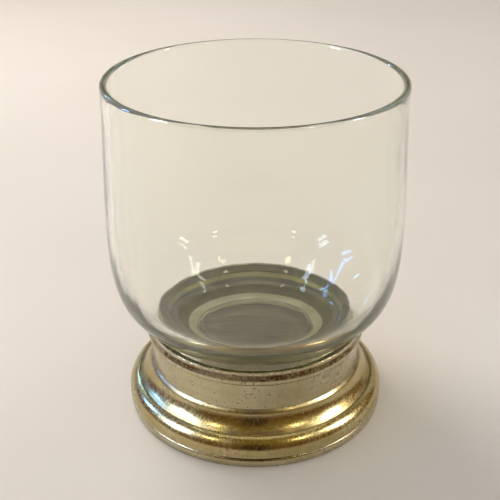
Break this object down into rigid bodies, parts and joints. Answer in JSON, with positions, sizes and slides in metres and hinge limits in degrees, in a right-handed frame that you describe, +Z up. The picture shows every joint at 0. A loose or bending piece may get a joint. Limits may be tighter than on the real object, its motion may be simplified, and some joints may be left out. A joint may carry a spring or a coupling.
{
  "type": "shot glass",
  "caption": "Clear rounded shot glass bedded in a hollow cast pewter foot with a rolled lip, plain collar and stepped flange.",
  "frame": {"origin": "centre of the ring that the foot stands on", "axes": "+Z up along the axis of the bowl; the part is round, so +X and +Y are free"},
  "size_m": [0.0514, 0.0514, 0.0609],
  "materials": {
    "clear_glass": "clear soda-lime glass, smooth, faintly green where it is thick",
    "pewter": "polished cast pewter, warm grey, with pinholes, fine turning lines and brown tarnish in the grooves",
    "cement": "gritty brown bonding cement"
  },
  "bodies": {
    "root": {"glass_bowl": "clear_glass", "pewter_foot": "pewter", "bond_cement": "cement"}
  },
  "joints": []
}
